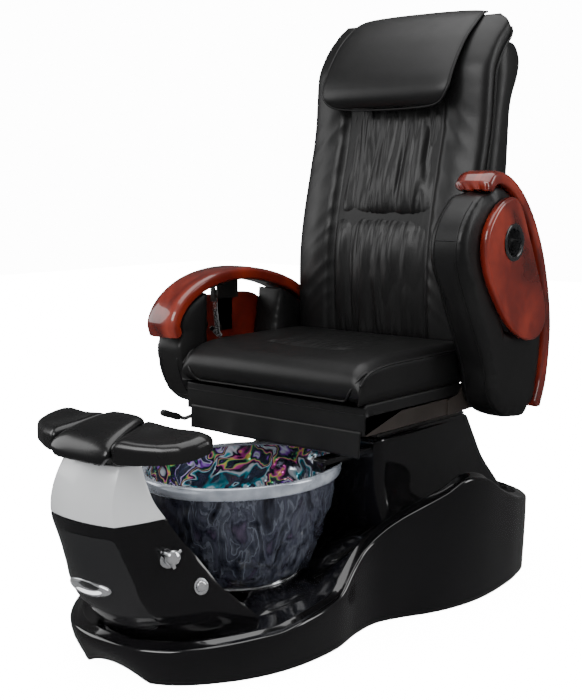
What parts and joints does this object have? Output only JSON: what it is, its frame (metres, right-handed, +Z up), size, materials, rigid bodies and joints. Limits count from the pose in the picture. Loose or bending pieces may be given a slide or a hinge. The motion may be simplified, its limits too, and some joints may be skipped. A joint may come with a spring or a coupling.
{
  "type": "pedicure spa chair",
  "caption": "Spa pedicure chair: sliding reclining massage seat with swing-up arms and folding cup trays over a plinth with a glass footbath bowl and footrest.",
  "frame": {"origin": "on the floor under the middle of the chair's bounding box", "axes": "+Z up; the sitter faces -Y; +X is the sitter's left"},
  "size_m": [0.81, 1.4083, 1.486],
  "materials": {
    "gloss_black": "high gloss",
    "gloss_charcoal": "gloss",
    "silver_paint": "satin silver paint",
    "chrome": "polished",
    "frame_paint": "semi-gloss dark paint",
    "rail_metal": "semi-gloss brown-grey paint",
    "bowl_glass": "hammered, iridescent",
    "upholstery": "smooth soft",
    "wood": "high-gloss mahogany",
    "black_plastic": "matte",
    "rubber": "matte",
    "steel": "brushed",
    "grey_pipe": "matte"
  },
  "bodies": {
    "base": {"skirt_shell": "gloss_black", "tub_cradle": "gloss_black", "front_tower": "gloss_black", "silver_band": "silver_paint", "seat_column": "gloss_black", "base_frame": "frame_paint", "levelling_feet": "rubber", "bowl": "bowl_glass", "bowl_rim": "chrome", "drain_fitting": "chrome", "pipework": "grey_pipe", "jet_housing": "black_plastic", "mixing_valve": "steel", "control_bezels": "chrome", "fill_spout": "gloss_black", "control_box": "black_plastic", "slide_rails": "steel"},
    "knob": {"valve_knob": "chrome"},
    "button": {"push_button": "chrome"},
    "door": {"access_door": "gloss_charcoal", "door_pull": "chrome"},
    "impeller": {"jet_impeller": "black_plastic"},
    "footrest": {"footrest_carrier": "frame_paint", "footrest_centre": "gloss_black", "footrest_left": "gloss_black", "footrest_right": "gloss_black"},
    "seat": {"seat_slides": "steel", "seat_frame": "rail_metal", "seat_box": "upholstery", "seat_cushion": "upholstery", "front_flap": "upholstery", "recline_brackets": "rail_metal"},
    "lever": {"lever_rod": "chrome", "lever_grip": "black_plastic"},
    "back": {"back_frame": "frame_paint", "back_cushion": "upholstery", "back_cover": "upholstery"},
    "pillow": {"head_pillow": "upholstery"},
    "carriage": {"massage_carriage": "black_plastic"},
    "rollers": {"massage_rollers": "rubber"},
    "actuator": {"actuator_body": "black_plastic"},
    "piston": {"actuator_rod": "steel"},
    "arm_left": {"arm_body_left": "upholstery", "arm_cap_left": "wood", "arm_sleeve_left": "steel", "tray_hinge_left": "frame_paint"},
    "arm_right": {"arm_body_right": "upholstery", "arm_cap_right": "wood", "arm_sleeve_right": "steel", "tray_hinge_right": "frame_paint"},
    "tray_left": {"tray_left": "wood", "cup_holder_left": "gloss_black", "tray_strap_left": "frame_paint"},
    "tray_right": {"tray_right": "wood", "cup_holder_right": "gloss_black", "tray_strap_right": "frame_paint"},
    "link_left": {"stay_link_left": "chrome"},
    "link_right": {"stay_link_right": "chrome"},
    "stay_left": {"stay_rod_left": "chrome"},
    "stay_right": {"stay_rod_right": "chrome"}
  },
  "joints": [
    {"name": "valve_turn", "type": "hinge", "parent": "base", "child": "knob", "pos_m": [0.133, -0.577, 0.278], "axis": [0.92, -0.2, 0.337], "range_deg": [0, 110]},
    {"name": "button_push", "type": "slide", "parent": "base", "child": "button", "axis": [-0.92, 0.2, -0.337], "range_m": [0, 0.004], "stiffness_N_per_m": 400},
    {"name": "door_pull_off", "type": "slide", "parent": "base", "child": "door", "axis": [0, -1, 0], "range_m": [0, 0.12]},
    {"name": "jet_spin", "type": "hinge", "parent": "base", "child": "impeller", "pos_m": [0, 0.014, 0.24], "axis": [0, 1, 0], "continuous": true},
    {"name": "footrest_slide", "type": "slide", "parent": "base", "child": "footrest", "axis": [0, -1, 0], "range_m": [-0.02, 0.06]},
    {"name": "seat_slide", "type": "slide", "parent": "base", "child": "seat", "axis": [0, 1, 0], "range_m": [-0.08, 0.05]},
    {"name": "lever_lift", "type": "hinge", "parent": "seat", "child": "lever", "pos_m": [-0.3, -0.036, 0.447], "axis": [-1, 0, 0], "range_deg": [0, 15], "stiffness_Nm_per_rad": 2},
    {"name": "back_recline", "type": "hinge", "parent": "seat", "child": "back", "pos_m": [0, 0.356, 0.503], "axis": [-1, 0, 0], "range_deg": [0, 35]},
    {"name": "pillow_flip", "type": "hinge", "parent": "back", "child": "pillow", "pos_m": [0, 0.576, 1.48], "axis": [-1, 0, 0], "range_deg": [0, 100]},
    {"name": "massage_travel", "type": "slide", "parent": "back", "child": "carriage", "axis": [0, 0.1327, 0.9912], "range_m": [-0.2, 0.2]},
    {"name": "roller_spin", "type": "hinge", "parent": "carriage", "child": "rollers", "pos_m": [0, 0.4635, 0.92], "axis": [1, 0, 0], "continuous": true},
    {"name": "actuator_swing", "type": "hinge", "parent": "seat", "child": "actuator", "pos_m": [0, 0.004, 0.478], "axis": [1, 0, 0], "range_deg": [0, 1.3]},
    {"name": "actuator_stroke", "type": "slide", "parent": "actuator", "child": "piston", "axis": [0, 0.9984, -0.0567], "range_m": [-0.027, 0]},
    {"name": "arm_left_lift", "type": "hinge", "parent": "seat", "child": "arm_left", "pos_m": [0.31, 0.374, 0.53], "axis": [-1, 0, 0], "range_deg": [-62, 0]},
    {"name": "arm_right_lift", "type": "hinge", "parent": "seat", "child": "arm_right", "pos_m": [-0.31, 0.374, 0.53], "axis": [-1, 0, 0], "range_deg": [0, 62]},
    {"name": "tray_left_fold", "type": "hinge", "parent": "arm_left", "child": "tray_left", "pos_m": [0.38, 0.45674, 0.83448], "axis": [0, -0.4695, 0.8829], "range_deg": [0, 90]},
    {"name": "stay_left_turn", "type": "hinge", "parent": "arm_left", "child": "link_left", "pos_m": [0.35, 0.41245, 0.88795], "axis": [0, -0.4695, 0.8829], "range_deg": [0, 90]},
    {"name": "rod_left_turn", "type": "hinge", "parent": "link_left", "child": "stay_left", "pos_m": [0.338, 0.32769, 0.84288], "axis": [0, -0.4695, 0.8829], "range_deg": [-90, 0]},
    {"name": "tray_right_fold", "type": "hinge", "parent": "arm_right", "child": "tray_right", "pos_m": [-0.38, 0.144, 0.746], "axis": [0, 1, 0], "range_deg": [0, 90]},
    {"name": "stay_right_turn", "type": "hinge", "parent": "arm_right", "child": "link_right", "pos_m": [-0.35, 0.076, 0.732], "axis": [0, 1, 0], "range_deg": [0, 90]},
    {"name": "rod_right_turn", "type": "hinge", "parent": "link_right", "child": "stay_right", "pos_m": [-0.338, 0.076, 0.636], "axis": [0, 1, 0], "range_deg": [-90, 0]}
  ],
  "couplings": [
    {"joint": "actuator_swing", "follows": "back_recline", "ratio": 0.0332},
    {"joint": "actuator_stroke", "follows": "back_recline", "m_per_rad": -0.0428},
    {"joint": "stay_left_turn", "follows": "tray_left_fold", "ratio": 1},
    {"joint": "rod_left_turn", "follows": "tray_left_fold", "ratio": -1},
    {"joint": "stay_right_turn", "follows": "tray_right_fold", "ratio": 1},
    {"joint": "rod_right_turn", "follows": "tray_right_fold", "ratio": -1}
  ]
}
